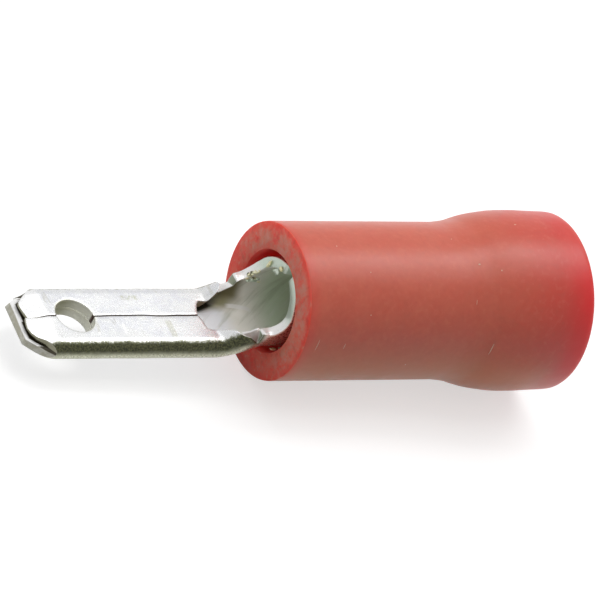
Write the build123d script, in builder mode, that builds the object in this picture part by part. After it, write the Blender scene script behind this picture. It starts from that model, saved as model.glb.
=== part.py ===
from build123d import *
import os
from math import acos, cos, degrees, pi, radians, sin

# A male spade terminal for a crimped wire, in millimetres.
# It has two pieces: one folded and rolled sheet, and an insulating sleeve pushed over its barrel.
# X runs along the barrel's axis and the blade points towards -X. Z is up, square to the blade's flat top.
# The origin is on the axis, at the front end of the closed barrel.

# Sheet that the terminal is stamped from, and the hairline that is left wherever it meets itself
sheet = 0.38
hairline = 0.04

# Blade: two layers of the sheet, folded flat
blade_width = 2.8
blade_thickness = 2 * sheet + hairline
blade_reach = 9.33

# Tip of the blade, coined thin
tip_width = 1.56
tip_taper = 1.0
tip_thickness = 0.27
tip_lift = 0.02
coin_length = 1.08
flap_setback = 0.38
flap_front_width = 1.5
flap_front_thickness = 0.13

# Hole that latches the blade in its socket
hole_radius = 0.695
hole_from_tip = 2.11

# Window behind the flaps, and the strips that stay folded beside it
window_start = 2.42
window_width = 1.24
window_corner = 0.14
strip_end = 1.70

# Trough, where the folds open and the sheet starts to curl
trough_end = 0.80
trough_edge_depth = 0.55
trough_base_share = 0.9
trough_bend_share = 0.64
opening_steps = 8

# Front of the rolled edges, seen from the side
shelf_depth = 0.18
shelf_length = 0.30
shelf_slope = 13
front_slope = 85
front_radius = 0.66

# Wire barrel, rolled until its edges butt along the top
barrel_radius = 1.48
barrel_length = 6.2
barrel_lead_in = 0.12
seam_mouth = 0.36
seam_mouth_length = 0.7

# Insulating sleeve
sleeve_lead = 0.15
sleeve_length = 11.23
sleeve_radius = 2.655
bulge_radius = 3.077
mouth_radius = 2.985
flare_start = 6.15
flare_middle = 7.50
flare_middle_radius = 2.868
bulge_at = 9.45
rim_round = 0.16
grip_clearance = 0.02
front_bore = 1.724
front_bore_depth = 1.1
front_cone = 0.4
wire_bore = 2.12
wire_cone = 1.5
wire_lead_in = 0.2

# Places that follow from the sizes above
fold_radius = (blade_thickness - sheet) / 2
fold_start = blade_width / 2 - blade_thickness / 2
curl_radius = barrel_radius - sheet / 2
blade_bottom = -barrel_radius
blade_middle = blade_bottom + blade_thickness / 2
blade_top = blade_bottom + blade_thickness
tip_x = -blade_reach
flap_x = tip_x + flap_setback
coin_x = tip_x + coin_length


def side_of_sheet(stretches, offset):
    """One face of the bent sheet, from its middle outwards: (start, middle, end) and the turn of each stretch."""
    y, z, heading = 0, blade_bottom + sheet / 2, 0
    side = []
    for length, turn in stretches:
        angle = radians(turn)
        points = []
        for share in (0, 0.5, 1):
            ahead = heading + angle * share
            if turn:
                radius = length / angle
                along = radius * (sin(ahead) - sin(heading))
                above = radius * (cos(heading) - cos(ahead))
            else:
                along = length * share * cos(heading)
                above = length * share * sin(heading)
            points.append((y + along - offset * sin(ahead), z + above + offset * cos(ahead)))
        side.append((points, turn))
        y, z = y + along, z + above
        heading = heading + angle
    return side


def bent_sheet(x, stretches):
    """Section at x through the far half of the sheet, which each (length, turn in degrees) bends further up."""
    outer = side_of_sheet(stretches, -sheet / 2)
    inner = side_of_sheet(stretches, sheet / 2)
    with BuildSketch(Plane.YZ.offset(x)) as section:
        with BuildLine():
            for (start, middle, end), turn in outer + inner:
                if turn:
                    ThreePointArc(start, middle, end)
                else:
                    Line(start, end)
            Line(outer[-1][0][2], inner[-1][0][2])
            Line(outer[0][0][0], inner[0][0][0])
        make_face()
    return section.sketch


def outline(plane, *points):
    """Flat shape with straight sides through the points."""
    with BuildSketch(plane) as shape:
        with BuildLine():
            Polyline(*points, close=True)
        make_face()
    return shape.sketch


def curled(length):
    """A stretch of the sheet bent to the barrel's radius."""
    return length, degrees(length / curl_radius)


# Terminal. The sheet is folded alike on both sides, so its far half is made and then mirrored.
fold = (pi * fold_radius, 180)
strip_width = fold_start - window_width / 2
trough_base = fold_start * trough_base_share
trough_side = curl_radius * acos(trough_edge_depth / curl_radius) - trough_base
with BuildPart() as terminal:
    # Folded blade, with a flap that reaches to the seam
    flap_width = fold_start - hairline / 2
    extrude(bent_sheet(coin_x, [(fold_start, 0), fold, (flap_width, 0)]), amount=-strip_end - coin_x)

    # Window behind the flaps, which leaves a strip of each flap along its fold
    with BuildSketch(Plane.XY.offset(blade_middle)):
        with Locations((-window_start, 0)):
            RectangleRounded(
                2 * (window_start - strip_end) + 2 * window_corner,
                window_width,
                window_corner,
                align=(Align.MIN, Align.CENTER),
            )
    extrude(amount=blade_thickness, mode=Mode.SUBTRACT)

    # Coined tip: the base runs on past the flaps, and both are pressed thin towards the middle
    with BuildSketch(Plane.YZ.offset(tip_x)):
        with Locations((0, blade_middle)):
            SlotOverall(blade_width, blade_thickness)
            Rectangle(blade_width, blade_thickness, align=(Align.MAX, Align.CENTER), mode=Mode.SUBTRACT)
    extrude(amount=coin_length)
    tip_bottom = blade_middle + tip_lift - tip_thickness / 2
    tip_top = tip_bottom + tip_thickness
    parting = blade_middle + (tip_top - blade_middle) * (coin_x - flap_x) / coin_length
    above_tip = outline(
        Plane.XZ,
        (tip_x, tip_top),
        (flap_x, parting),
        (flap_x, parting + flap_front_thickness),
        (coin_x, blade_top),
        (tip_x, blade_top),
    )
    extrude(above_tip, amount=-blade_width, mode=Mode.SUBTRACT)
    below_tip = outline(Plane.XZ, (tip_x, tip_bottom), (coin_x, blade_bottom), (tip_x, blade_bottom))
    extrude(below_tip, amount=-blade_width, mode=Mode.SUBTRACT)

    # Corners of the tip, further back on the flaps than on the base
    taper_end = (tip_x + tip_taper, blade_width / 2)
    base_corner = outline(
        Plane.XY.offset(blade_bottom), (tip_x, tip_width / 2), taper_end, (tip_x, blade_width / 2)
    )
    extrude(base_corner, amount=blade_thickness, mode=Mode.SUBTRACT)
    flap_corner = outline(
        Plane.XY.offset(parting), (flap_x, flap_front_width / 2), taper_end, (flap_x, blade_width / 2)
    )
    extrude(flap_corner, amount=blade_thickness, mode=Mode.SUBTRACT)

    # Gap between the tip's layers, which rises towards the front, and the seam between its flaps
    layer_gap = outline(
        Plane.XZ,
        (coin_x, blade_middle - hairline / 2),
        (flap_x, parting - hairline / 2),
        (flap_x, parting + hairline / 2),
        (coin_x, blade_middle + hairline / 2),
    )
    extrude(layer_gap, amount=-fold_start, mode=Mode.SUBTRACT)
    seam = outline(Plane.XZ, (coin_x, blade_middle), (flap_x, parting), (flap_x, blade_top), (coin_x, blade_top))
    extrude(seam, amount=-hairline / 2, mode=Mode.SUBTRACT)

    # Folds that open into the trough: each bend comes down and spreads until the sheet is evenly curled
    folded = ((fold_start, 0), fold, (strip_width, 0))
    opened = (
        curled(trough_base),
        curled(trough_side * trough_bend_share),
        curled(trough_side * (1 - trough_bend_share)),
    )
    stations = []
    for step in range(opening_steps + 1):
        share = step / opening_steps
        eased = share * share * (3 - 2 * share)
        stretches = [
            (tight + (loose - tight) * share, tight_turn + (loose_turn - tight_turn) * eased)
            for (tight, tight_turn), (loose, loose_turn) in zip(folded, opened)
        ]
        stations.append(bent_sheet((strip_end - trough_end) * share - strip_end, stretches))
    loft(stations, ruled=True)

    # Barrel and the end of the trough, rolled to one radius
    with BuildSketch(Plane.YZ.offset(-trough_end)):
        Circle(barrel_radius)
        Circle(barrel_radius - sheet, mode=Mode.SUBTRACT)
        Rectangle(2 * barrel_radius, 2 * barrel_radius, align=(Align.MAX, Align.CENTER), mode=Mode.SUBTRACT)
        Rectangle(hairline / 2, barrel_radius, align=(Align.MIN, Align.MIN), mode=Mode.SUBTRACT)
    extrude(amount=trough_end + barrel_length)

    # Front of the rolled edge: a low shelf that sweeps up to the front of the barrel
    with BuildSketch(Plane.XZ):
        with BuildLine():
            shelf = PolarLine((-trough_end, -shelf_depth), shelf_length, shelf_slope)
            sweep_up = JernArc(shelf @ 1, shelf % 1, front_radius, front_slope - shelf_slope)
            front = PolarLine(sweep_up @ 1, 2 * barrel_radius, front_slope)
            corner = (-2 * trough_end, (front @ 1).Y)
            Polyline(front @ 1, corner, (-2 * trough_end, -shelf_depth), shelf @ 0)
        make_face()
    extrude(amount=-blade_width, mode=Mode.SUBTRACT)

    # Seam of the barrel, which stands open a little at the front
    seam_opening = outline(Plane.XY, (0, 0), (0, seam_mouth / 2), (seam_mouth_length, 0))
    extrude(seam_opening, amount=2 * barrel_radius, mode=Mode.SUBTRACT)

    # Eased inner edge at the back, where the wire goes in
    rear_edges = terminal.edges().filter_by(GeomType.CIRCLE).group_by(Axis.X)[-1]
    chamfer(rear_edges.sort_by(SortBy.RADIUS)[0], barrel_lead_in)

    # Latching hole through both layers
    with BuildSketch(Plane.XY.offset(blade_bottom)):
        with Locations((tip_x + hole_from_tip, 0)):
            Circle(hole_radius)
    extrude(amount=blade_thickness, mode=Mode.SUBTRACT)

    mirror(about=Plane.XZ)
terminal.part.label = "terminal"

# Insulating sleeve: a tube that grips the barrel and is belled out where the wire's own insulation goes in
grip_radius = barrel_radius + grip_clearance
sleeve_front = -sleeve_lead
sleeve_rear = sleeve_front + sleeve_length
with BuildPart() as sleeve:
    with BuildSketch(Plane.XZ):
        with BuildLine():
            front_face = Line((sleeve_front, front_bore), (sleeve_front, sleeve_radius))
            straight = Line(front_face @ 1, (flare_start, sleeve_radius))
            flare = Spline(
                straight @ 1,
                (flare_middle, flare_middle_radius),
                (bulge_at, bulge_radius),
                tangents=((1, 0), (1, 0)),
            )
            bulge = TangentArc(flare @ 1, (sleeve_rear, mouth_radius), tangent=(1, 0))
            Polyline(
                bulge @ 1,
                (sleeve_rear, wire_bore + wire_lead_in),
                (sleeve_rear - wire_lead_in, wire_bore),
                (barrel_length + wire_cone, wire_bore),
                (barrel_length, grip_radius),
                (sleeve_front + front_bore_depth + front_cone, grip_radius),
                (sleeve_front + front_bore_depth, front_bore),
                front_face @ 0,
            )
        make_face()
    revolve(axis=Axis.X)
    rims = sleeve.edges().filter_by(GeomType.CIRCLE).group_by(Axis.X)[-1]
    fillet(rims.sort_by(SortBy.RADIUS)[-1], rim_round)
sleeve.part.label = "insulating_sleeve"

os.makedirs("parts", exist_ok=True)
export_step(terminal.part, "parts/terminal.step")
export_step(sleeve.part, "parts/insulating_sleeve.step")
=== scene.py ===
import math
import bmesh
import bpy
import numpy as np
from mathutils import Matrix, Vector, geometry, noise


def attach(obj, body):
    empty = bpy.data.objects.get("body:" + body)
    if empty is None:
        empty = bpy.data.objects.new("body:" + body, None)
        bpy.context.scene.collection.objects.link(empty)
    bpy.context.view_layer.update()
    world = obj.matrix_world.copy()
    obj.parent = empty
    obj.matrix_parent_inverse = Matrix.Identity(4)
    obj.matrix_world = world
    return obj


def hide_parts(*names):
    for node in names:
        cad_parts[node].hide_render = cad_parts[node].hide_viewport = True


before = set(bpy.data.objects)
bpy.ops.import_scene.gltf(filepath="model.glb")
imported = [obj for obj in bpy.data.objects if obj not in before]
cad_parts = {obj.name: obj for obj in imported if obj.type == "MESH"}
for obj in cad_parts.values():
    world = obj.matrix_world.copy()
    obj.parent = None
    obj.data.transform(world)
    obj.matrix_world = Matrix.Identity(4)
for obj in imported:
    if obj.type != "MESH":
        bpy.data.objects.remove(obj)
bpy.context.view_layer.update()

MM = 0.001


# The terminal: one stamping of tin-plated brass, 0.38 mm thick. It is cut flat, folded double into
# the blade, coined thin at the tip, and its back end is opened out and rolled into the wire barrel.
# The mesh follows the flat blank: x runs along it and v across it, from the middle of the base, in mm.
SHEET = 0.38
BOTTOM = -1.48
HALF_BLADE = 0.40
BLADE_MIDDLE = BOTTOM + HALF_BLADE

# On the blank the fold starts at FOLD_START from the middle, and the flap's edge, which meets the other
# flap's in the seam, lies at SEAM
FOLD_START = 1.0
FOLD_RADIUS = 0.21
SEAM = 2 * FOLD_START + math.pi * FOLD_RADIUS
TIP, COIN = -9.33, -8.25
HOLE, HOLE_RADIUS = (-7.215, 0.0), 0.695
BARREL_END, BARREL_EDGE = 6.2, 4.03

# Coining, from its start to the tip: climb of the parting line and of the underside, fall of the flaps' top,
# which eases past a share of the way, and how much thinner the flaps get
PARTING_CLIMB, UNDERSIDE_CLIMB = 0.155, 0.285
TOP_FALL, SPRING_BACK, SPRING_START = 0.262, 0.20, 0.3
FLAP_THINNING = 0.367

# How the folds open: outer radius of the bend, outer half width and turn of the bend along x
BEND = [(-2.10, 0.40), (-1.70, 0.52), (-1.35, 0.69), (-1.00, 0.93), (-0.75, 1.18), (-0.35, 1.48)]
SPREAD = [(-0.95, 1.40), (-0.35, 1.48)]
TURN = [(-1.95, 180), (-1.62, 166), (-1.42, 148), (-1.30, 106), (-1.10, 92), (-0.85, 90), (-0.70, 200)]


def along(table, x):
    """Smooth value at x of a table of (x, value) that keeps its turning points."""
    if x <= table[0][0]:
        return table[0][1]
    if x >= table[-1][0]:
        return table[-1][1]
    slopes = [0.0]
    for (x0, y0), (x1, y1), (x2, y2) in zip(table, table[1:], table[2:]):
        before, after = (y1 - y0) / (x1 - x0), (y2 - y1) / (x2 - x1)
        slopes.append(0.0 if before * after <= 0 else 2 * before * after / (before + after))
    slopes.append(0.0)
    for (x0, y0), (x1, y1), m0, m1 in zip(table, table[1:], slopes, slopes[1:]):
        if x <= x1:
            h = x1 - x0
            t = (x - x0) / h
            rise = t * t * (3 - 2 * t)
            return y0 + (y1 - y0) * rise + h * (m0 * t * (1 - t) ** 2 - m1 * t * t * (1 - t))


def coined_height(x, z):
    """Height in the coined tip, where both layers are squeezed towards a parting line that climbs."""
    share = (COIN - x) / (COIN - TIP)
    if z < BLADE_MIDDLE:
        parting = BLADE_MIDDLE + PARTING_CLIMB * share
        underside = BOTTOM + UNDERSIDE_CLIMB * share
        return parting - (BLADE_MIDDLE - z) / HALF_BLADE * (parting - underside)
    top = BLADE_MIDDLE + HALF_BLADE - TOP_FALL * share + SPRING_BACK * max(0, share - SPRING_START)
    thickness = HALF_BLADE - FLAP_THINNING * share
    return top - (BLADE_MIDDLE + HALF_BLADE - z) / HALF_BLADE * thickness


def bend_sheet(x, v, w):
    """Place in the finished part of the point x, v of the blank, w above the middle of its thickness."""
    radius, spread = along(BEND, x), along(SPREAD, x)
    turn, flat, bend = math.radians(along(TURN, x)), spread - radius, radius - SHEET / 2
    side, reach = math.copysign(1, v), abs(v)
    angle = min(max(reach - flat, 0) / bend, turn)
    rest = max(reach - flat - bend * angle, 0)
    y = min(reach, flat) + bend * math.sin(angle) + rest * math.cos(angle) - w * math.sin(angle)
    z = BOTTOM + SHEET / 2 + bend * (1 - math.cos(angle)) + rest * math.sin(angle) + w * math.cos(angle)
    return Vector((x, side * y, coined_height(x, z) if x < COIN else z))


# Seam between the flaps: pressed shut up to a place behind the tip, then opening over a short stretch
SEAM_SHUT_TO, SEAM_OPENING = -8.75, 0.7
SHUT_GAP, FRONT_GAP, OPEN_GAP = 0.002, 0.003, 0.020


def seam_gap(x, side):
    """Distance of a flap's edge from the middle line, where the seam wanders a little."""
    opened = min(1, max(0, (x - SEAM_SHUT_TO) / SEAM_OPENING))
    wander = 0.012 * math.sin(2.3 * x + 0.6) + 0.008 * math.sin(5.1 * x)
    return SHUT_GAP + OPEN_GAP * opened + side * opened * wander


# Outline of the blank. Its far side is 1 and its near side -1, which differ a little, and its outer face
# is -1 and its inner face 1. First the tip: how far its inner face slants back, where its straight front
# ends, how its corners taper, and how far the fold bulges past the flat
MIDDLE_SLANT, TIP_SLANT = 0.07, {1: 0.09, -1: 0.05}
TIP_FLAT, SHOULDER = 0.40, {1: 0.84, -1: 0.78}
BASE_TAPER = 0.62
FLAP_TAPER_END = (-8.33, 1.4)
OUTER_BULGE, INNER_BULGE = 0.40, 0.02
FOLD_STEPS, HOLE_STEPS = 8, 24

# Front edge of each flap, from beside the fold to the seam: x and y
FLAP_FRONT = {
    1: [(-8.74, 1.00), (-8.93, 0.82), (-9.05, 0.68), (-9.08, 0.55), (-9.04, 0.30), (-8.97, 0.02)],
    -1: [(-8.66, 1.00), (-8.92, 0.85), (-9.07, 0.67), (-9.14, 0.42), (-9.12, 0.26), (-9.06, 0.02)]}

# Window behind the flaps: its front corner as x and distance from the seam, and the edge of the strip that
# stays folded beside it, as x and v, by side and face
WINDOW_CORNER = {1: [(-2.50, 0.03), (-2.44, 0.30), (-2.36, 0.50)],
                 -1: [(-2.50, 0.03), (-2.42, 0.30), (-2.38, 0.58)]}
STRIP_EDGE = {
    (1, -1): [(-2.25, 2.03), (-2.10, 2.03), (-1.90, 2.12), (-1.60, 2.16), (-1.47, 2.08), (-1.42, 1.98),
              (-1.39, 1.78), (-1.36, 1.58), (-1.30, 1.50), (-1.20, 1.53), (-1.00, 1.57), (-0.86, 1.60)],
    (1, 1): [(-2.25, 2.04), (-2.10, 1.99), (-1.90, 1.98), (-1.60, 2.02), (-1.47, 1.99), (-1.42, 1.90),
             (-1.38, 1.76), (-1.34, 1.62), (-1.30, 1.61), (-1.20, 1.63), (-1.00, 1.70), (-0.84, 1.76)],
    (-1, -1): [(-2.20, 2.03), (-2.10, 2.02), (-1.90, 1.98), (-1.60, 1.93), (-1.52, 1.91), (-1.46, 1.86),
               (-1.40, 1.84), (-1.30, 1.90), (-1.20, 1.90), (-1.10, 1.83), (-1.00, 1.73), (-0.86, 1.60)],
    (-1, 1): [(-2.20, 2.02), (-2.10, 2.01), (-1.90, 1.99), (-1.60, 1.98), (-1.52, 1.96), (-1.46, 1.92),
              (-1.40, 1.86), (-1.30, 1.88), (-1.20, 1.88), (-1.10, 1.88), (-1.00, 1.92), (-0.84, 1.96)]}

# Wings that roll up into the barrel: a low shelf, alike on both sides, and the front that sweeps up from it
WING_SHELF = [(-0.82, 1.95), (-0.70, 1.945), (-0.55, 1.94), (-0.45, 1.965), (-0.35, 2.03), (-0.25, 2.12),
              (-0.15, 2.25), (-0.05, 2.48), (-0.02, 2.81), (0.02, 3.15)]
WING_FRONT = {1: [(0.05, 3.45), (0.10, 3.82), (0.40, 3.94), (0.70, BARREL_EDGE)],
              -1: [(0.05, 3.49), (0.10, 3.86), (0.40, 3.97), (0.70, BARREL_EDGE)]}
BACK_EDGE = [(BARREL_END, BARREL_EDGE), (BARREL_END, 2.0), (BARREL_END, 0.0)]


def blank_edge(side, face):
    """Cut edge of half the blank, from the tip round the flap, window and wing to the back end."""
    bulge = OUTER_BULGE if face < 0 else INNER_BULGE
    slant = TIP_SLANT[side] if face > 0 else 0.0
    shoulder = SHOULDER[side]
    points = [(TIP + MIDDLE_SLANT * (face > 0), 0.0), (TIP + slant, TIP_FLAT), (TIP + slant, shoulder)]

    # Round the fold, the corner of the base runs over into the corner of the flap
    corner, width = FLAP_FRONT[side][0]
    slope = (FLAP_TAPER_END[0] - corner) / (FLAP_TAPER_END[1] - width)
    for step in range(FOLD_STEPS + 1):
        angle = math.pi * step / FOLD_STEPS
        y = FOLD_START + bulge * math.sin(angle)
        base, flap = TIP + slant / 2 + (y - shoulder) / BASE_TAPER, corner + (y - width) * slope
        share = min(max((step - 3) / 2, 0), 1)
        points.append((base + (flap - base) * share, FOLD_START + FOLD_RADIUS * angle))
    points += [(x, SEAM - y) for x, y in FLAP_FRONT[side][1:-1]]
    points.append((FLAP_FRONT[side][-1][0], SEAM - FRONT_GAP))

    # Seam, with a point every 0.2 mm, and the flap's half of the latching hole in it
    points += [(x / 10, SEAM - seam_gap(x / 10, side)) for x in range(-88, -79, 2)]
    for step in range(HOLE_STEPS + 1):
        angle = math.pi * step / HOLE_STEPS
        x = HOLE[0] - HOLE_RADIUS * math.cos(angle)
        points.append((x, SEAM - max(HOLE_RADIUS * math.sin(angle), seam_gap(x, side))))
    points += [(x / 10, SEAM - seam_gap(x / 10, side)) for x in range(-63, -25, 2)]

    points += [(x, SEAM - gap) for x, gap in WINDOW_CORNER[side]]
    points += STRIP_EDGE[side, face] + WING_SHELF + WING_FRONT[side] + BACK_EDGE
    return [(x, side * v) for x, v in points]


def divided(points, step):
    """The same line with its long runs divided, and alike for both faces."""
    out = []
    for (a, b), (c, d) in zip(points, points[1:] + points[:1]):
        runs = ((a, c), (b, d))
        n = max(1, int(max(math.dist(p, q) for p, q in runs) / step))
        for i in range(n):
            t = i / n
            out.append(tuple((p[0] + (q[0] - p[0]) * t, p[1] + (q[1] - p[1]) * t) for p, q in runs))
    return out


def inset(loop, distance):
    """Closed line moved inwards, to its left, by the distance."""
    n = len(loop)
    moved = []
    for i, (x, y) in enumerate(loop):
        (x0, y0), (x1, y1) = loop[i - 1], loop[(i + 1) % n]
        dx, dy = x1 - x0, y1 - y0
        size = math.hypot(dx, dy) or 1
        moved.append((x - dy / size * distance, y + dx / size * distance))
    return moved


def inside(points, loop):
    """Which points lie inside the closed line."""
    hit = np.zeros(len(points), bool)
    x, y = points[:, 0], points[:, 1]
    for (x0, y0), (x1, y1) in zip(loop, loop[1:] + loop[:1]):
        if y0 != y1:
            crosses = (y0 > y) != (y1 > y)
            hit ^= crosses & (x < x0 + (y - y0) * (x1 - x0) / (y1 - y0))
    return hit


def far_from(points, loop, distance):
    """Which points are at least the distance from the closed line."""
    clear = np.ones(len(points), bool)
    for (x0, y0), (x1, y1) in zip(loop, loop[1:] + loop[:1]):
        d = np.array((x1 - x0, y1 - y0))
        t = np.clip(((points - (x0, y0)) @ d) / max(d @ d, 1e-12), 0, 1)
        clear &= np.hypot(*(points - (x0, y0) - t[:, None] * d).T) > distance
    return clear


# Points of the flat faces: close together up to where the barrel is closed, and wide apart behind that
CLOSE_FROM, CLOSE_TO, WIDE_TO = -9.4, 1.2, 6.3
HALF_BLANK = 4.1
EASED_EDGE = 0.035


def face_points(rims, spacing):
    """Staggered rows of points inside the first rim and outside the other ones."""
    rows = []
    for low, high, step in ((CLOSE_FROM, CLOSE_TO, spacing), (CLOSE_TO, WIDE_TO, 3 * spacing)):
        xs, vs = np.meshgrid(np.arange(low, high, step), np.arange(-HALF_BLANK, HALF_BLANK, step))
        xs[1::2] += step / 2
        rows.append(np.stack((xs.ravel(), vs.ravel()), 1))
    points, clear = np.concatenate(rows), 0.6 * spacing
    points = points[inside(points, rims[0]) & far_from(points, rims[0], clear)]
    for rim in rims[1:]:
        points = points[~inside(points, rim) & far_from(points, rim, clear)]
    return points


def blank_mesh(outer_loops, middle_loops, inner_loops, spacing):
    """Solid sheet with an outline for each face and for the middle of the cut; further loops are holes."""
    verts, faces = [], []
    rings = [[] for _ in outer_loops]
    for w, loops in ((-1, outer_loops), (1, inner_loops)):
        rims = [inset(loop, EASED_EDGE) for loop in loops]
        grid = face_points(rims, spacing)
        edges, at = [], 0
        for rim in rims:
            edges += [(at + i, at + (i + 1) % len(rim)) for i in range(len(rim))]
            at += len(rim)
        points = [Vector(p) for rim in rims for p in rim] + [Vector(p) for p in grid]
        found = geometry.delaunay_2d_cdt(points, edges, [], 0, 1e-7)
        middle = np.array([sum((found[0][i] for i in f), Vector((0, 0))) / 3 for f in found[2]])
        keep = inside(middle, rims[0])
        for rim in rims[1:]:
            keep &= ~inside(middle, rim)
        start = len(verts)
        where = {}
        for i, sources in enumerate(found[3]):
            for s in sources:
                where[s] = start + i
        verts += [(p.x, p.y, w * SHEET / 2) for p in found[0]]
        for f, kept in zip(found[2], keep):
            if kept:
                corners = [start + i for i in f]
                faces.append(corners if w > 0 else corners[::-1])
        at = 0
        for ring, rim in zip(rings, rims):
            ring.append([where[at + i] for i in range(len(rim))])
            at += len(rim)

    # Cut edge, from the outer face round its eased corners to the inner face
    half = SHEET / 2 - EASED_EDGE
    for ring, outer, middle, inner in zip(rings, outer_loops, middle_loops, inner_loops):
        rows = [ring[0]]
        for loop, inward, height in ((outer, 0.3, -half - 0.7 * EASED_EDGE), (outer, 0.0, -half),
                                     (middle, 0.0, 0.0),
                                     (inner, 0.0, half), (inner, 0.3, half + 0.7 * EASED_EDGE)):
            path = inset(loop, inward * EASED_EDGE)
            rows.append(list(range(len(verts), len(verts) + len(path))))
            verts += [(x, v, height) for x, v in path]
        rows.append(ring[1])
        for low, high in zip(rows, rows[1:]):
            n = len(low)
            faces += [(low[i], low[(i + 1) % n], high[(i + 1) % n], high[i]) for i in range(n)]
    return verts, faces


def finished(name, verts, faces):
    """Mesh object, in metres, from points in millimetres."""
    mesh = bpy.data.meshes.new(name)
    mesh.from_pydata([Vector(v) * MM for v in verts], [], faces)
    mesh.validate()
    mesh.shade_smooth()
    piece = bpy.data.objects.new(name, mesh)
    bpy.context.scene.collection.objects.link(piece)
    return piece


def paint(piece, name, values):
    """Keep a number at each point of the piece, for its material."""
    piece.data.attributes.new(name, "FLOAT", "POINT").data.foreach_set("value", values)


SPACING = 0.07
edges = {}
for face in (-1, 1):
    far, near = blank_edge(1, face), blank_edge(-1, face)
    edges[face] = near[:-1] + far[:0:-1]
pairs = divided(list(zip(edges[-1], edges[1])), SPACING)
outer_edge, inner_edge = [a for a, b in pairs], [b for a, b in pairs]
middle_edge = []
for (x0, v0), (x1, v1) in pairs:
    # The cut broke a little unevenly; on the near side of the window its inner half stayed upright
    share = 0.92 if v0 < 0 and -1.34 < x0 < -0.84 and abs(v0) < 2.0 else 0.5
    torn = 0.012 * noise.noise(Vector((x0 * 9, v0 * 9, 0.7))) if x0 > -8.9 else 0.0
    middle_edge.append((x0 + (x1 - x0) * share + torn, v0 + (v1 - v0) * share + torn))

# Latching hole in the base layer, punched a little out of line with the one in the flaps
BASE_HOLE = (HOLE[0] + 0.03, HOLE[1] + 0.05)
base_hole = []
for i in range(3 * HOLE_STEPS):
    a = -2 * math.pi * i / (3 * HOLE_STEPS)
    base_hole.append((BASE_HOLE[0] + HOLE_RADIUS * math.cos(a), BASE_HOLE[1] + HOLE_RADIUS * math.sin(a)))
blank_verts, terminal_faces = blank_mesh([outer_edge, base_hole], [middle_edge, base_hole],
                                         [inner_edge, base_hole], SPACING)
terminal_verts, inner_side, cut_side = [], [], []
for x, v, w in blank_verts:
    p = bend_sheet(x, v, w)
    uneven = noise.noise(Vector((x * 0.9, v * 0.9, 3.1))) * 0.012
    terminal_verts.append((p.x, p.y, p.z + (uneven if BOTTOM + 0.02 < p.z and abs(v) < SEAM else 0)))
    inner_side.append(1.0 if w > 0.16 else 0.0)
    cut_side.append(1.0 if abs(w) < 0.17 else 0.0)

# Crumbs and burrs the cutting tool left on the wings: place on the blank, size, stretch and kind
TAN, YELLOW, PALE = 2.0, 2.4, 3.0
CRUMBS = [
    ((-0.33, 2.05, 0.13), 0.085, (1.2, 0.9, 0.8), TAN), ((-0.25, 2.12, 0.12), 0.080, (1.0, 0.9, 1.0), TAN),
    ((-0.17, 2.22, 0.15), 0.070, (1.2, 1.0, 0.8), TAN), ((-0.10, 2.34, 0.17), 0.045, (1.0, 1.0, 1.2), TAN),
    ((-0.42, 1.95, 0.20), 0.050, (1.5, 0.7, 0.7), TAN), ((-0.35, 1.82, 0.20), 0.050, (1.3, 0.7, 0.9), PALE),
    ((-0.22, 1.86, 0.21), 0.065, (1.1, 0.7, 0.9), PALE), ((-0.15, 1.95, 0.20), 0.065, (1.4, 0.6, 0.8), TAN),
    ((-0.08, 1.80, 0.20), 0.045, (1.6, 0.6, 0.6), PALE), ((0.00, 1.90, 0.20), 0.060, (1.4, 0.6, 0.6), PALE),
    ((0.10, 1.75, 0.20), 0.040, (1.6, 0.6, 0.6), TAN), ((-0.04, 2.95, 0.08), 0.055, (1.0, 1.0, 3.2), YELLOW),
    ((0.22, 3.02, 0.30), 0.150, (0.6, 1.0, 0.9), PALE), ((0.05, 3.62, 0.10), 0.070, (0.7, 1.4, 1.0), YELLOW),
    ((0.10, -1.05, -0.30), 0.075, (1.6, 0.9, 0.5), YELLOW),
    ((0.22, -1.25, -0.30), 0.050, (1.4, 1.0, 0.6), TAN)]
for number, (place, size, stretch, kind) in enumerate(CRUMBS):
    lump = bmesh.new()
    bmesh.ops.create_icosphere(lump, subdivisions=3, radius=size)
    middle, start = bend_sheet(*place), len(terminal_verts)
    for vert in lump.verts:
        rough = 1 + 0.45 * noise.noise(vert.co / size * 1.3 + Vector((number, 0, 0)))
        terminal_verts.append(tuple(middle[i] + vert.co[i] * stretch[i] * rough for i in range(3)))
    terminal_faces += [[start + vert.index for vert in face.verts] for face in lump.faces]
    inner_side += [0.0] * len(lump.verts)
    cut_side += [kind] * len(lump.verts)
    lump.free()
terminal = finished("tinned_terminal", terminal_verts, terminal_faces)
paint(terminal, "inner_side", inner_side)
paint(terminal, "cut_side", cut_side)


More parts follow.
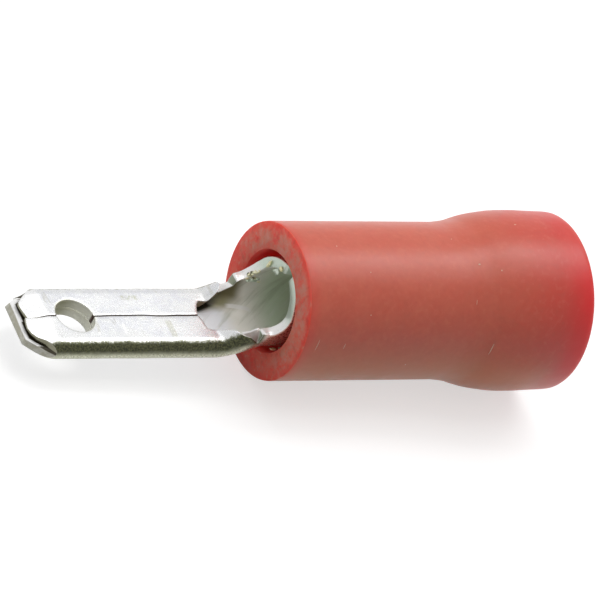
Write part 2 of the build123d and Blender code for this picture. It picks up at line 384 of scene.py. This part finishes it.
class Shading:
    """Short forms for wiring one material's nodes. A share is a value from 0 to 1."""

    def __init__(self, name):
        self.material = bpy.data.materials.new(name)
        self.material.use_nodes = True
        self.nodes, self.links = self.material.node_tree.nodes, self.material.node_tree.links
        self.shader = self.nodes["Principled BSDF"]
        place = self.nodes.new("ShaderNodeTexCoord").outputs["Object"]
        self.mm = self.add("ShaderNodeVectorMath", {"Vector": place, "Scale": 1 / MM}, operation="SCALE")
        parts = self.nodes.new("ShaderNodeSeparateXYZ")
        self.links.new(self.mm, parts.inputs[0])
        self.x, self.y, self.z = parts.outputs

    def feed(self, socket, value):
        if isinstance(value, bpy.types.NodeSocket):
            self.links.new(value, socket)
        else:
            socket.default_value = value

    def add(self, kind, inputs, output=0, **settings):
        node = self.nodes.new(kind)
        for name, value in settings.items():
            setattr(node, name, value)
        for name, value in inputs.items():
            self.feed(node.inputs[name], value)
        return node.outputs[output]

    def painted(self, name):
        """Number that the mesh keeps at its points."""
        return self.add("ShaderNodeAttribute", {}, 2, attribute_name=name)

    def math(self, operation, a, b=0.0, c=0.0):
        return self.add("ShaderNodeMath", {0: a, 1: b, 2: c}, operation=operation)

    def mix_in(self, a, factor, b):
        """a times the factor, plus b."""
        return self.math("MULTIPLY_ADD", a, factor, b)

    def all_of(self, *shares):
        """Product of the shares."""
        product = shares[0]
        for share in shares[1:]:
            product = self.math("MULTIPLY", product, share)
        return product

    def rest_of(self, share):
        return self.math("SUBTRACT", 1.0, share)

    def step(self, value, low, high, start=0.0, end=1.0):
        """Smooth step from start to end while the value goes from low to high."""
        inputs = {"Value": value, "From Min": low, "From Max": high, "To Min": start, "To Max": end}
        return self.add("ShaderNodeMapRange", inputs, interpolation_type="SMOOTHSTEP")

    def band(self, value, middle, half):
        """1 within the half width of the middle, with soft ends."""
        return self.step(self.math("ABSOLUTE", self.math("SUBTRACT", value, middle)), half, half * 0.6)

    def noise(self, scale, detail=4.0, rough=0.6, place=None):
        inputs = {"Vector": place or self.mm, "Scale": scale, "Detail": detail, "Roughness": rough}
        return self.add("ShaderNodeTexNoise", inputs)

    def blend(self, share, a, b):
        rgba = [c if isinstance(c, bpy.types.NodeSocket) else (*c, 1.0) for c in (a, b)]
        return self.add("ShaderNodeMix", {0: share, 6: rgba[0], 7: rgba[1]}, 2, data_type="RGBA")


# Bright tin over brass: near white and mottled on top, dull and grainy where the folds stretched it, with
# painted shade for their dark olive band, grey green inside the barrel with painted shade, shadow and a
# painted highlight there, and tan where the cut shows the brass
BRIGHT_TIN, COOL_TIN, CLOUDED_TIN = (0.81, 0.81, 0.81), (0.73, 0.74, 0.78), (0.83, 0.84, 0.83)
PITTED_TIN, POLISHED_TIN, DRAWN_TIN = (0.52, 0.53, 0.52), (0.93, 0.93, 0.93), (0.55, 0.54, 0.48)
RUBBED_TIN, SCRATCHED_TIN, STAINED_TIN = (0.50, 0.50, 0.38), (0.98, 0.98, 0.98), (0.42, 0.43, 0.30)
FOLD_DULL, FOLD_BRIGHT = (0.33, 0.34, 0.16), (0.71, 0.72, 0.53)
OLIVE_SHADE_DARK, OLIVE_SHADE_PALE = (0.016, 0.018, 0.003), (0.105, 0.11, 0.045)
TROUGH_COOL, TROUGH_WARM, BARREL_GREEN = (0.93, 0.96, 1.0), (0.95, 0.94, 0.87), (0.77, 0.86, 0.70)
STREAK_DARK, STREAK_PALE, PAINTED_GLINT = (0.36, 0.39, 0.28), (0.98, 1.0, 0.96), (1.0, 1.0, 0.99)
WALL_SHADE_BROWN, BROW_SHADE_BROWN, WEDGE_SHADOW_BLACK = (0.24, 0.22, 0.08), (0.13, 0.105, 0.03), (0.02, 0.02, 0.008)
SLEEVE_REFLECTION_RED, GAP_SHADOW_BLACK, LEDGE_LIT_WHITE = (0.50, 0.28, 0.20), (0.045, 0.036, 0.014), (0.95, 0.95, 0.95)
CUT_TAN, CUT_CREAM, FLAP_END_TAN = (0.58, 0.56, 0.44), (0.74, 0.73, 0.64), (0.46, 0.45, 0.31)
WING_WHITE, WING_GREEN, WING_SPECK = (0.97, 0.97, 0.96), (0.60, 0.70, 0.60), (0.40, 0.42, 0.32)
HOLE_OLIVE, HOLE_PALE = (0.42, 0.42, 0.27), (1.0, 1.0, 0.90)
FACET_GREY, RISER_GREY, SEAM_BROWN = (0.36, 0.32, 0.29), (0.26, 0.29, 0.21), (0.11, 0.065, 0.045)
STRIP_BROWN, STRIP_TAN = (0.13, 0.08, 0.03), (0.40, 0.30, 0.18)
CRUMB_TAN, CRUMB_SHADE_DARK = (0.92, 0.91, 0.64), (0.16, 0.17, 0.10)
CRUMB_YELLOW, CRUMB_PALE = (0.94, 0.92, 0.56), (0.74, 0.84, 0.72)

tin = Shading("tin_plate")
inner = tin.painted("inner_side")
cut_or_crumb = tin.painted("cut_side")
cut = tin.math("MINIMUM", cut_or_crumb, 1.0)
crumb = tin.step(cut_or_crumb, 1.2, 1.8)
across, near = tin.math("ABSOLUTE", tin.y), tin.math("MULTIPLY", tin.y, -1.0)
grain, clouds, patches = tin.noise(13, 4, 0.7), tin.noise(3.2, 8, 0.7), tin.noise(0.8, 3, 0.5)
speckle, coarse = tin.noise(17, 4, 0.7), tin.noise(5, 3, 0.6)

# Mottled tin with fine marks across it
drawn = tin.add("ShaderNodeVectorMath", {0: tin.mm, 1: (5.0, 0.9, 1.0)}, operation="MULTIPLY")
strokes = tin.step(tin.noise(1.0, 2, 0.5, drawn), 0.67, 0.74)
colour = tin.blend(tin.step(patches, 0.38, 0.56), BRIGHT_TIN, COOL_TIN)
colour = tin.blend(tin.step(clouds, 0.42, 0.60, 0.0, 0.8), colour, CLOUDED_TIN)
colour = tin.blend(tin.step(grain, 0.50, 0.66, 0.0, 0.5), colour, PITTED_TIN)
colour = tin.blend(tin.step(grain, 0.46, 0.34, 0.0, 0.5), colour, POLISHED_TIN)
colour = tin.blend(tin.all_of(strokes, 0.5), colour, DRAWN_TIN)

# A rubbed place, a bright scratch and a stain on top of the flaps, and the polish of the coined tip
on_top = tin.step(tin.z, -0.95, -0.85)
rub = tin.all_of(tin.band(tin.mix_in(clouds, 0.2, tin.x), -3.70, 0.15), tin.band(near, 0.60, 0.45))
colour = tin.blend(tin.all_of(rub, on_top, 0.45), colour, RUBBED_TIN)
scratch = tin.all_of(tin.band(tin.mix_in(near, 0.05, tin.x), -5.55, 0.045), tin.band(near, 0.58, 0.27))
colour = tin.blend(tin.all_of(scratch, on_top), colour, SCRATCHED_TIN)
stain = tin.all_of(tin.band(tin.x, -4.87, 0.42), tin.band(tin.y, 0.78, 0.12), on_top,
                   tin.step(grain, 0.46, 0.56))
colour = tin.blend(tin.all_of(stain, 0.7), colour, STAINED_TIN)
coined = tin.step(tin.mix_in(across, 0.12, tin.x), -8.10, -8.20)
colour = tin.blend(tin.all_of(coined, 0.8), colour, POLISHED_TIN)

# Outside of the folds, up to where the sheet runs into the sleeve: stretched, grainy tin. Above, painted
# shade turns it near black olive, standing in for a dark reflection; below, its paler grain is partly a
# painted reflection of the floor.
wander = tin.math("ADD", tin.math("MULTIPLY", speckle, 0.6), tin.mix_in(coarse, 0.4, -0.5))
reach = tin.math("SUBTRACT", tin.mix_in(wander, 0.55, across), tin.step(tin.y, 0.0, 0.1, 0.0, 0.12))
fold_line = tin.step(tin.x, -2.2, -0.8, -1.01, -0.58)
height = tin.math("SUBTRACT", tin.mix_in(wander, 0.35, tin.z), fold_line)
outer = tin.all_of(tin.rest_of(inner), tin.rest_of(cut), tin.step(tin.x, -0.62, -0.86))
folded = tin.all_of(tin.step(reach, 1.05, 1.20), outer)
dull_and_shaded = tin.all_of(folded, tin.step(height, -0.16, 0.12))
fold_colour = tin.blend(tin.step(speckle, 0.35, 0.65), FOLD_DULL, FOLD_BRIGHT)
colour = tin.blend(tin.all_of(folded, 0.8), colour, fold_colour)
colour = tin.blend(dull_and_shaded, colour, tin.blend(tin.step(speckle, 0.40, 0.62), OLIVE_SHADE_DARK, OLIVE_SHADE_PALE))

# Inside of the trough and barrel, with streaks that slant round it as the rolling tool drew them
turn = tin.math("ARCTAN2", tin.y, tin.math("MULTIPLY", tin.z, -1.0))
slant = tin.mix_in(turn, -2.1, tin.math("MULTIPLY", tin.x, 1.7))
arcs = tin.add("ShaderNodeCombineXYZ", {0: slant, 1: tin.math("MULTIPLY", turn, 0.5), 2: 0.0})
streaks = tin.noise(1.0, 4, 0.6, arcs)
uneven_x = tin.mix_in(wander, 0.5, tin.x)
rolled = tin.blend(tin.step(uneven_x, -1.5, -0.7), TROUGH_COOL, TROUGH_WARM)
rolled = tin.blend(tin.step(uneven_x, -0.2, 0.75), rolled, BARREL_GREEN)
rolled = tin.blend(tin.step(streaks, 0.50, 0.70, 0.0, 0.45), rolled, STREAK_DARK)
rolled = tin.blend(tin.step(streaks, 0.46, 0.30, 0.0, 0.5), rolled, STREAK_PALE)
# Painted shade: the far inner wall is browned where it lies in shade, and darker still under its top edge
shaded_wall = tin.all_of(tin.step(tin.y, 0.45, 0.85), tin.step(tin.x, -0.35, -1.1))
rolled = tin.blend(tin.all_of(shaded_wall, 0.92), rolled, WALL_SHADE_BROWN)
brow_shade = tin.all_of(tin.step(tin.z, -1.0, -0.7), tin.step(tin.x, -0.35, -0.85), tin.step(tin.y, 0.55, 0.80))
rolled = tin.blend(tin.all_of(brow_shade, 0.9), rolled, BROW_SHADE_BROWN)
# Painted highlight: a pale streak along the bend where the trough's floor meets the far wall
painted_glint = tin.all_of(tin.band(tin.mix_in(tin.x, 0.286, tin.y), 0.45, 0.075), tin.band(tin.x, -0.55, 0.50))
rolled = tin.blend(tin.all_of(painted_glint, 0.6), rolled, PAINTED_GLINT)
# Painted shadow: a thin black wedge on the far side of the trough, behind the flaps
wedge_shadow = tin.all_of(tin.step(tin.mix_in(tin.x, -0.40, tin.y), 1.28, 1.44), tin.step(tin.x, -1.0, -1.7))
rolled = tin.blend(wedge_shadow, rolled, WEDGE_SHADOW_BLACK)

# Outside of the barrel, given a painted reflection of the red sleeve round it, and the inner faces
sleeve_reflection = tin.all_of(tin.rest_of(inner), tin.step(tin.x, -0.82, -0.60))
colour = tin.blend(tin.all_of(sleeve_reflection, 0.9), colour, SLEEVE_REFLECTION_RED)
opened = tin.all_of(inner, tin.step(tin.x, -2.5, -2.4))
colour = tin.blend(opened, colour, rolled)
# Painted shadow: the base's inner face goes dark from just in front of the flaps' front edge, under them
flap_front = tin.math("MAXIMUM", tin.mix_in(across, 1.4, -10.12), tin.step(tin.y, -0.02, 0.02, -9.10, -9.03))
slit_shadow = tin.step(tin.math("SUBTRACT", tin.x, flap_front), -0.06, 0.0)
slit_shadow = tin.all_of(slit_shadow, tin.step(tin.x, -8.0, -8.2))
colour = tin.blend(tin.all_of(inner, slit_shadow), colour, GAP_SHADOW_BLACK)

# Cut edges: tan where the cut shows the brass, and near white on the wings
core = tin.blend(tin.step(clouds, 0.4, 0.6), CUT_TAN, CUT_CREAM)
wing_core = tin.blend(tin.step(tin.z, 0.0, 0.65), WING_WHITE, WING_GREEN)
wing_core = tin.blend(tin.step(speckle, 0.56, 0.70, 0.0, 0.5), wing_core, WING_SPECK)
core = tin.blend(tin.step(tin.x, -1.45, -1.30), core, wing_core)
flap_end = tin.math("ADD", tin.z, tin.step(tin.x, COIN, TIP, 1.08, 0.925))
flap_end = tin.all_of(tin.step(flap_end, 0.01, 0.03), tin.step(tin.x, -8.20, -8.35))
core = tin.blend(flap_end, core, FLAP_END_TAN)
colour = tin.blend(cut, colour, core)

# Wall of the latching hole, in both layers
hole_middle = (-7.20, 0.02, 0.0)
from_hole = tin.add("ShaderNodeVectorMath", {0: tin.mm, 1: hole_middle}, operation="SUBTRACT")
from_hole = tin.add("ShaderNodeVectorMath", {0: from_hole, 1: (1.0, 1.0, 0.0)}, operation="MULTIPLY")
from_hole = tin.add("ShaderNodeVectorMath", {0: from_hole}, 1, operation="LENGTH")
hole_wall = tin.all_of(tin.step(from_hole, 0.76, 0.74), tin.band(tin.z, -1.08, 0.50))
colour = tin.blend(hole_wall, colour, tin.blend(tin.step(tin.x, -7.45, -6.70), HOLE_OLIVE, HOLE_PALE))

# Shaded cuts: the near wing's torn facet and riser, the far strip's side, the seam and the tip's crease
wing_facet = tin.all_of(tin.step(near, 1.06, 1.12), tin.step(tin.x, -1.36, -1.31),
                        tin.step(tin.x, -0.84, -0.87))
colour = tin.blend(tin.all_of(cut, wing_facet), colour, FACET_GREY)
riser = tin.all_of(tin.step(tin.z, -0.16, -0.20), tin.step(tin.x, -0.87, -0.85),
                   tin.step(tin.x, -0.79, -0.81))
colour = tin.blend(tin.all_of(cut, riser), colour, RISER_GREY)
strip_side = tin.all_of(tin.step(tin.y, 0.3, 0.4), tin.step(tin.x, -2.45, -2.35),
                        tin.step(tin.x, -1.40, -1.50))
colour = tin.blend(tin.all_of(cut, strip_side), colour, tin.blend(coarse, STRIP_BROWN, STRIP_TAN))
seam = tin.all_of(tin.step(across, 0.11, 0.06), tin.step(tin.x, -2.3, -2.5))
seam = tin.all_of(seam, tin.step(tin.z, -1.08, -1.04), tin.step(tin.x, -8.8, -8.2))
colour = tin.blend(tin.all_of(cut, seam), colour, SEAM_BROWN)
parting = tin.math("ABSOLUTE", tin.math("ADD", tin.z, tin.step(tin.x, COIN, TIP, 1.05, 0.895)))
crease = tin.all_of(tin.step(parting, 0.065, 0.045), tin.step(tin.x, -8.1, -8.2))
colour = tin.blend(tin.all_of(cut, crease), colour, GAP_SHADOW_BLACK)

# Crumbs by kind, with painted shade among them, and the ledge of the base in front of the flaps, whitened as
# painted light so that it reads brightly lit
# Painted shade: dark spots among the crumbs stand in for the shade in the gaps between them
crumbs = tin.blend(tin.step(coarse, 0.53, 0.59), CRUMB_TAN, CRUMB_SHADE_DARK)
crumbs = tin.blend(tin.step(cut_or_crumb, 2.1, 2.3), crumbs, CRUMB_YELLOW)
crumbs = tin.blend(tin.step(cut_or_crumb, 2.6, 2.9), crumbs, CRUMB_PALE)
colour = tin.blend(crumb, colour, crumbs)
ledge = tin.all_of(inner, tin.step(tin.x, -8.3, -8.5))
colour = tin.blend(tin.all_of(ledge, tin.rest_of(slit_shadow)), colour, LEDGE_LIT_WHITE)
tin.feed(tin.shader.inputs["Base Color"], colour)

# The metal shines on its flat faces and is matt inside the barrel, on the ledge and where it was cut
raw_cut = tin.all_of(cut, tin.step(tin.x, -0.95, -1.05, 0.3, 1.0))
matt = tin.math("MAXIMUM", tin.math("ADD", opened, raw_cut), tin.math("MULTIPLY", dull_and_shaded, 0.35))
matt = tin.math("MINIMUM", tin.math("MAXIMUM", matt, ledge), 1.0)
tin.feed(tin.shader.inputs["Metallic"], tin.mix_in(matt, -0.60, 0.65))
tin.feed(tin.shader.inputs["Roughness"], tin.mix_in(matt, 0.15, tin.step(grain, 0.3, 0.7, 0.24, 0.32)))
relief = tin.math("ADD", tin.mix_in(grain, 0.5, strokes), tin.math("MULTIPLY", clouds, 0.8))
bump = tin.add("ShaderNodeBump", {"Strength": 0.22, "Distance": 0.02 * MM, "Height": relief})
tin.feed(tin.shader.inputs["Normal"], bump)
terminal.data.materials.append(tin.material)
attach(terminal, "root")
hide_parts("terminal")


# The insulating sleeve: a tube of soft red vinyl, cut off a longer one, belled out at the back by a
# warm tool and pushed over the barrel. It is translucent, and its thin rims are painted a deeper, clearer red
# as a painted glow for the light that shines through them.
SLEEVE_FRONT, SLEEVE_LENGTH = -0.15, 11.23
SLEEVE_REAR = 11.08
SLEEVE_RADIUS = 2.655
BULGE_AT, BULGE_RADIUS = 9.30, 3.077
FRONT_BORE, GRIP, WIRE_BORE = 1.724, 1.5, 2.12

# Sleeve's outside, front face and rounded rear rim, and its inside from the back to the front: x and radius
OUTSIDE = [(SLEEVE_FRONT, SLEEVE_RADIUS), (6.30, SLEEVE_RADIUS), (6.75, 2.690), (7.15, 2.748), (7.55, 2.858),
           (7.98, 2.955), (8.39, 3.014), (8.81, 3.058), (BULGE_AT, 3.076), (9.65, 3.074), (10.05, 3.060),
           (10.45, 3.048), (10.88, 3.036), (SLEEVE_REAR, 3.025)]
FRONT_FACE = [(SLEEVE_FRONT, 1.75), (SLEEVE_FRONT, 2.2), (SLEEVE_FRONT, 2.62), (-0.135, 2.645)]
REAR_RIM = [(11.0, 3.025), (11.05, 3.0), (11.075, 2.95), (SLEEVE_REAR, 2.84), (SLEEVE_REAR, 2.6),
            (SLEEVE_REAR, 2.36), (11.05, 2.28), (10.95, 2.2), (10.8, 2.15)]
WIRE_ENTRY = [(x, WIRE_BORE) for x in (10.0, 9.0, 8.0, 7.7)] + [(7.2, 1.91), (6.5, 1.62)]
BARREL_GRIP = [(x, GRIP) for x in (BARREL_END, 4.0, 2.0, 1.35)]
FRONT_CLEARANCE = [(1.15, 1.60), (0.95, 1.72), (0.6, FRONT_BORE), (0.2, FRONT_BORE), (-0.12, FRONT_BORE)]
STATIONS = 110

# Scuffs and specks: x, degrees from the top to the near side, length round the sleeve, width along it
SCUFFS = [(0.39, 76, 0.48, 0.026), (7.33, 77, 0.64, 0.034), (6.46, 44, 0.18, 0.022), (1.47, 77, 0.22, 0.022),
          (6.75, 16, 0.05, 0.10), (7.48, 22, 0.05, 0.06), (1.33, 0, 0.04, 0.05), (2.32, 22, 0.04, 0.04),
          (8.72, -14, 0.03, 0.10), (2.24, 53, 0.04, 0.04), (6.10, -8, 0.04, 0.04), (4.30, 96, 0.05, 0.04)]
SCUFF_DEPTH, SCUFF_SLANT, SCUFF_SUNK = 0.014, 0.12, 0.001


def turned(profile, segments=192):
    """Surface made by turning a closed profile of (x, radius) about X."""
    verts, faces = [], []
    n = len(profile)
    for k in range(segments):
        a = 2 * math.pi * k / segments
        verts += [(x, r * math.cos(a), r * math.sin(a)) for x, r in profile]
    for k in range(segments):
        nxt = (k + 1) % segments
        faces += [(k * n + i, k * n + (i + 1) % n, nxt * n + (i + 1) % n, nxt * n + i) for i in range(n)]
    return verts, faces


# The outside stops short of the end, where the rear rim takes over
stations = [SLEEVE_FRONT + SLEEVE_LENGTH * i / STATIONS for i in range(1, STATIONS - 1)]
profile = FRONT_FACE + [(x, along(OUTSIDE, x)) for x in stations]
profile += REAR_RIM + WIRE_ENTRY + BARREL_GRIP + FRONT_CLEARANCE
sleeve_verts, sleeve_faces = turned(profile)
scuffed = [0.0] * len(sleeve_verts)
for x, degrees, length, width in SCUFFS:
    lump = bmesh.new()
    bmesh.ops.create_icosphere(lump, subdivisions=2, radius=0.5)
    angle, start = math.radians(degrees), len(sleeve_verts)
    out = Vector((0, -math.sin(angle), math.cos(angle)))
    round_it = Vector((0, math.cos(angle), math.sin(angle)))
    middle = Vector((x, 0, 0)) + out * (along(OUTSIDE, x) - SCUFF_SUNK)
    for vert in lump.verts:
        a, b, c = vert.co
        bow = -0.5 * (b * length) ** 2 / along(OUTSIDE, x)
        shift = Vector((a * width + SCUFF_SLANT * b * length, 0, 0))
        place = middle + shift + round_it * b * length + out * (c * SCUFF_DEPTH + bow)
        sleeve_verts.append(tuple(place))
    sleeve_faces += [tuple(start + vert.index for vert in face.verts) for face in lump.faces]
    scuffed += [1.0] * len(lump.verts)
    lump.free()
sleeve = finished("vinyl_sleeve", sleeve_verts, sleeve_faces)
paint(sleeve, "scuffed", scuffed)

# Soft vinyl: coral, a little dusty, deeper and clearer towards the warm-formed back end, with a frosted,
# blotched cut face and a few specks and scuffs. Its rims and bore carry a painted red glow, and its
# underside a painted tan glow.
CORAL, DEEP_CORAL, DUSTY = (0.64, 0.115, 0.060), (0.64, 0.036, 0.018), (0.70, 0.17, 0.10)
DARK_GRAIN, PALE_GRAIN, UNDERSIDE_GLOW_TAN = (0.52, 0.085, 0.045), (0.74, 0.18, 0.11), (0.64, 0.23, 0.05)
RIM_GLOW_RED, BORE_GLOW_RED, SCUFF_PALE = (0.74, 0.010, 0.010), (0.98, 0.14, 0.12), (0.82, 0.56, 0.42)
FACE_RED, FACE_FROST = (0.92, 0.070, 0.042), (0.74, 0.300, 0.215)
FACE_SPECK, FACE_PIT = (0.76, 0.42, 0.33), (0.55, 0.08, 0.05)
SOFTNESS = 0.75

vinyl = Shading("red_vinyl")
radius = vinyl.math("ADD", vinyl.math("MULTIPLY", vinyl.y, vinyl.y), vinyl.math("MULTIPLY", vinyl.z, vinyl.z))
radius = vinyl.math("SQRT", radius)
clouds, grain, blotch = vinyl.noise(0.9, 3), vinyl.noise(5, 2, 0.5), vinyl.noise(2.0, 6, 0.7)
colour = vinyl.blend(vinyl.step(vinyl.mix_in(clouds, 1.5, vinyl.x), 7.8, 11.3), CORAL, DEEP_CORAL)
colour = vinyl.blend(vinyl.step(clouds, 0.40, 0.70, 0.0, 0.30), colour, DUSTY)
colour = vinyl.blend(vinyl.step(grain, 0.50, 0.75, 0.0, 0.20), colour, DARK_GRAIN)
colour = vinyl.blend(vinyl.step(grain, 0.46, 0.30, 0.0, 0.20), colour, PALE_GRAIN)
# Painted glow: a warm tan low down, weaker towards the back, for floor light shining into the vinyl
underside_glow = vinyl.all_of(vinyl.step(vinyl.z, 1.1, -1.0, 0.0, 0.55), vinyl.step(vinyl.x, 9.0, 10.8, 1.0, 0.25))
colour = vinyl.blend(underside_glow, colour, UNDERSIDE_GLOW_TAN)
# Painted glow: clear red rims for light shining through thin vinyl, at the back most on the near side, up
# high
back_rim_glow = vinyl.step(vinyl.mix_in(clouds, 0.8, vinyl.x), 10.0, 11.3)
back_rim_glow = vinyl.all_of(back_rim_glow, vinyl.step(vinyl.y, -0.2, -1.8, 0.4, 1.0),
                        vinyl.step(vinyl.z, -1.4, 0.6, 0.3, 1.0))
rim = vinyl.math("MAXIMUM", vinyl.step(vinyl.x, 0.40, -0.1, 0.0, 0.25), back_rim_glow)
colour = vinyl.blend(rim, colour, RIM_GLOW_RED)

# Front face, frosted by the cut between its clearer rims, and redder and less frosted low down and to the far
# side
front = vinyl.step(vinyl.x, -0.09, -0.13)
low_and_far = vinyl.mix_in(vinyl.z, -1.1, vinyl.math("MULTIPLY", vinyl.y, 0.4))
frost = vinyl.all_of(vinyl.step(blotch, 0.28, 0.66), vinyl.step(radius, 2.62, 2.30, 0.25, 1.0),
                     vinyl.step(radius, 1.74, 1.95, 0.6, 1.0), vinyl.step(low_and_far, -0.6, 1.8, 1.0, 0.35))
face = vinyl.blend(frost, FACE_RED, FACE_FROST)
face = vinyl.blend(vinyl.step(grain, 0.56, 0.70, 0.0, 0.3), face, FACE_SPECK)
face = vinyl.blend(vinyl.step(grain, 0.44, 0.30, 0.0, 0.3), face, FACE_PIT)
colour = vinyl.blend(front, colour, face)
# Painted glow: the bore is a brighter red, standing in for light shining through the wall into its shade
bore_glow = vinyl.all_of(vinyl.step(radius, 1.80, 1.74), vinyl.step(vinyl.x, -0.16, -0.10))
colour = vinyl.blend(bore_glow, colour, BORE_GLOW_RED)
scuff = vinyl.painted("scuffed")
colour = vinyl.blend(scuff, colour, SCUFF_PALE)
vinyl.feed(vinyl.shader.inputs["Base Color"], colour)

# Satin skin, duller where it is cut or scuffed. The scuffs are dry and let no light in.
satin = vinyl.step(clouds, 0.3, 0.7, 0.33, 0.40)
matt = vinyl.math("MULTIPLY", vinyl.math("MAXIMUM", front, scuff), 0.25)
vinyl.feed(vinyl.shader.inputs["Roughness"], vinyl.math("ADD", satin, matt))
vinyl.shader.inputs["Subsurface Weight"].default_value = SOFTNESS
vinyl.feed(vinyl.shader.inputs["Subsurface Weight"], vinyl.mix_in(scuff, -SOFTNESS, SOFTNESS))
vinyl.shader.inputs["Subsurface Radius"].default_value = (1.3, 0.2, 0.12)
vinyl.shader.inputs["Subsurface Scale"].default_value = MM
relief = vinyl.mix_in(blotch, vinyl.math("MULTIPLY", front, 4.0), vinyl.noise(3, 1, 0.5))
bump = vinyl.add("ShaderNodeBump", {"Strength": 0.25, "Distance": 0.03 * MM, "Height": relief})
vinyl.feed(vinyl.shader.inputs["Normal"], bump)
sleeve.data.materials.append(vinyl.material)
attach(sleeve, "root")
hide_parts("insulating_sleeve")


# The floor: a wide sheet of white paper. The terminal lies on its sleeve's bulge and front rim, so the
# floor is tipped by the small angle between them.
FLOOR_HALF = 0.5
FLOOR_GAP = 0.005
PAPER_GREY = (0.55, 0.55, 0.55, 1)
PAPER_GLOW = 0.60


def background_rays(nodes, links):
    """1 for rays that show the background: from the camera, off a mirror or through glass."""
    ray = nodes.new("ShaderNodeLightPath")
    either = ray.outputs["Is Camera Ray"]
    for name in ("Is Glossy Ray", "Is Transmission Ray"):
        larger = nodes.new("ShaderNodeMath")
        larger.operation = "MAXIMUM"
        links.new(either, larger.inputs[0])
        links.new(ray.outputs[name], larger.inputs[1])
        either = larger.outputs[0]
    return either


slope = (BULGE_RADIUS - SLEEVE_RADIUS) / (BULGE_AT - SLEEVE_FRONT)
corners = []
for x, y in ((-1, -1), (1, -1), (1, 1), (-1, 1)):
    drop = -(SLEEVE_RADIUS + FLOOR_GAP) * MM - (x * FLOOR_HALF - SLEEVE_FRONT * MM) * slope
    corners.append((x * FLOOR_HALF, y * FLOOR_HALF, drop))
floor_mesh = bpy.data.meshes.new("floor")
floor_mesh.from_pydata(corners, [], [(0, 1, 2, 3)])
floor = bpy.data.objects.new("floor", floor_mesh)
bpy.context.scene.collection.objects.link(floor)
paper = bpy.data.materials.new("paper")
paper.use_nodes = True
nodes, links = paper.node_tree.nodes, paper.node_tree.links
surface = nodes["Principled BSDF"].inputs
surface["Base Color"].default_value = PAPER_GREY
surface["Roughness"].default_value = 0.9
surface["Emission Color"].default_value = (1, 1, 1, 1)
glow = nodes.new("ShaderNodeMath")
glow.operation = "MULTIPLY"
glow.inputs[1].default_value = PAPER_GLOW
links.new(background_rays(nodes, links), glow.inputs[0])
links.new(glow.outputs[0], surface["Emission Strength"])
floor.data.materials.append(paper)


# Light: two soft boxes above and behind, long in the direction of the part, as over a product table, in a
# room that is pale to look at and lights the object mostly from behind and above.
LAMP_DISTANCE = 0.5
ROOM_FROM = (0.0, 0.62, 0.78)
ROOM_SHADE, ROOM_LIGHT, ROOM_WHITE = 0.06, 0.60, 0.92


def soft_box(name, direction, size, power):
    """Lamp with its long side along the part, aimed at the part's middle."""
    lamp = bpy.data.lights.new(name, "AREA")
    lamp.shape = "RECTANGLE"
    lamp.size, lamp.size_y = size
    lamp.energy = power
    holder = bpy.data.objects.new(name, lamp)
    away = Vector(direction).normalized()
    side = (Vector((1, 0, 0)) - away * away.x).normalized()
    turned_to_part = Matrix((side, away.cross(side), away)).transposed().to_4x4()
    holder.matrix_world = Matrix.Translation(away * LAMP_DISTANCE) @ turned_to_part
    bpy.context.scene.collection.objects.link(holder)


soft_box("overhead", (0.36, 0.08, 0.93), (0.50, 0.25), 0.60)
soft_box("panel", (0.36, 0.34, 0.87), (0.50, 0.15), 0.72)
world = bpy.data.worlds.new("room")
world.use_nodes = True
nodes, links = world.node_tree.nodes, world.node_tree.links
place = nodes.new("ShaderNodeTexCoord")
facing = nodes.new("ShaderNodeVectorMath")
facing.operation = "DOT_PRODUCT"
facing.inputs[1].default_value = Vector(ROOM_FROM)
fade = nodes.new("ShaderNodeMapRange")
fade.interpolation_type = "SMOOTHSTEP"
fade.inputs["From Min"].default_value, fade.inputs["From Max"].default_value = -0.05, 0.40
fade.inputs["To Min"].default_value, fade.inputs["To Max"].default_value = ROOM_SHADE, ROOM_LIGHT
links.new(place.outputs["Generated"], facing.inputs[0])
links.new(facing.outputs["Value"], fade.inputs["Value"])
shown = nodes.new("ShaderNodeMix")
shown.inputs[3].default_value = ROOM_WHITE
links.new(background_rays(nodes, links), shown.inputs[0])
links.new(fade.outputs["Result"], shown.inputs[2])
links.new(shown.outputs[0], nodes["Background"].inputs["Strength"])
nodes["Background"].inputs["Color"].default_value = (1, 1, 1, 1)
bpy.context.scene.world = world
bpy.context.scene.view_settings.view_transform = "Standard"


# Camera: a long lens that looks down on the blade's flat top from the front and near side, rolled so
# that the part lies level in the picture. Its distance is in millimetres.
PICTURE_PIXELS, PIXELS_PER_MM = 600, 30.161
DISTANCE = 185
SENSOR = 36
azimuth, elevation, roll = math.radians(-43.959), math.radians(38.067), math.radians(30.607)
flat = math.cos(elevation)
back = Vector((math.sin(azimuth) * flat, -math.cos(azimuth) * flat, math.sin(elevation)))
level = (-back).cross(Vector((0, 0, 1))).normalized()
above = level.cross(-back)
right = level * math.cos(roll) + above * math.sin(roll)
up = above * math.cos(roll) - level * math.sin(roll)
aim = Vector((0.85, 0, 0)) + right * 0.256 + up * 0.027
lens = bpy.data.cameras.new("camera")
lens.sensor_width = SENSOR
lens.lens = SENSOR * DISTANCE * PIXELS_PER_MM / PICTURE_PIXELS
lens.clip_start, lens.clip_end = 0.01, 5
camera = bpy.data.objects.new("camera", lens)
turned_to_aim = Matrix((right, up, back)).transposed().to_4x4()
camera.matrix_world = Matrix.Translation((aim + back * DISTANCE) * MM) @ turned_to_aim
bpy.context.scene.collection.objects.link(camera)
bpy.context.scene.camera = camera
